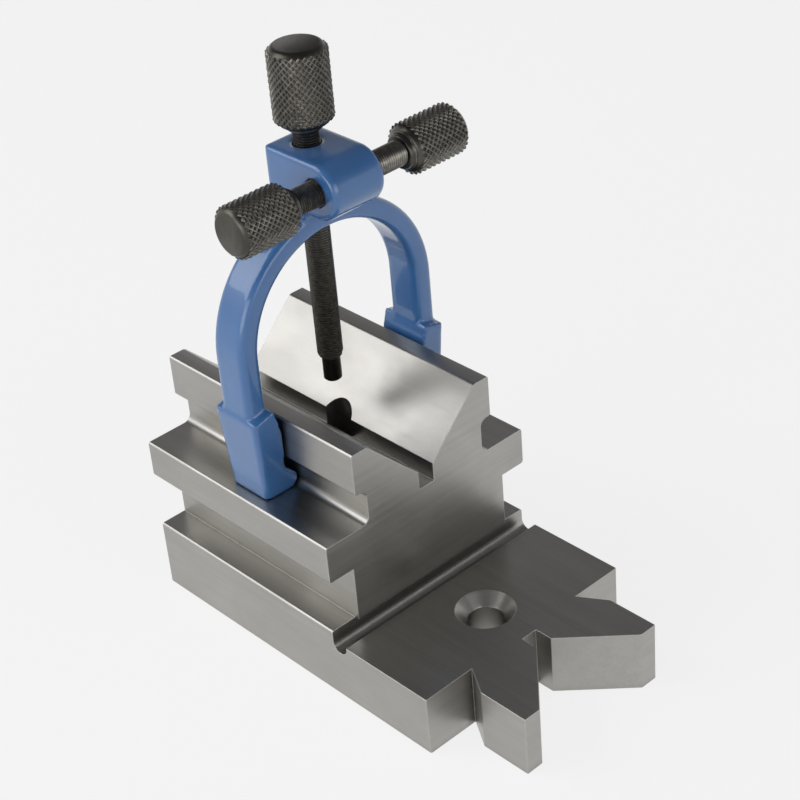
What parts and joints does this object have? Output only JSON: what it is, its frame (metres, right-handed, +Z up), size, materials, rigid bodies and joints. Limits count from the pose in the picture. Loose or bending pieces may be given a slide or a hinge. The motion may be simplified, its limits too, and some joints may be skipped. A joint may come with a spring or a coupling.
{
  "type": "v block",
  "caption": "Ground steel V-block with side rails, a drill hole, a forked V-ended tongue with a tapped hole, and a sliding arch clamp with knurled thumb screws.",
  "frame": {"origin": "on the underside of the base, on the axis of the drill hole in the middle of the V body", "axes": "+X along the V towards the tongue, +Y across the block, +Z up out of the V"},
  "size_m": [0.0918, 0.0526, 0.1154],
  "materials": {
    "block_steel": "ground, fine grain along the length",
    "clamp_paint": "gloss enamel over a casting",
    "screw_steel": "black oxide"
  },
  "bodies": {
    "block": {"v_block": "block_steel"},
    "frame": {"clamp_frame": "clamp_paint"},
    "upright_screw": {"clamp_screw": "screw_steel"},
    "left_screw": {"left_side_screw": "screw_steel"},
    "right_screw": {"right_side_screw": "screw_steel"}
  },
  "joints": [
    {"name": "clamp_slide", "type": "slide", "parent": "block", "child": "frame", "axis": [1, 0, 0], "range_m": [-0.022, 0.018]},
    {"name": "clamp_screw_travel", "type": "slide", "parent": "frame", "child": "upright_screw", "axis": [0, 0, 1], "range_m": [-0.0024, 0.028]},
    {"name": "left_screw_travel", "type": "slide", "parent": "frame", "child": "left_screw", "axis": [0, 1, 0], "range_m": [-0.004, 0.0006]},
    {"name": "right_screw_travel", "type": "slide", "parent": "frame", "child": "right_screw", "axis": [0, -1, 0], "range_m": [-0.002, 0.0006]}
  ]
}
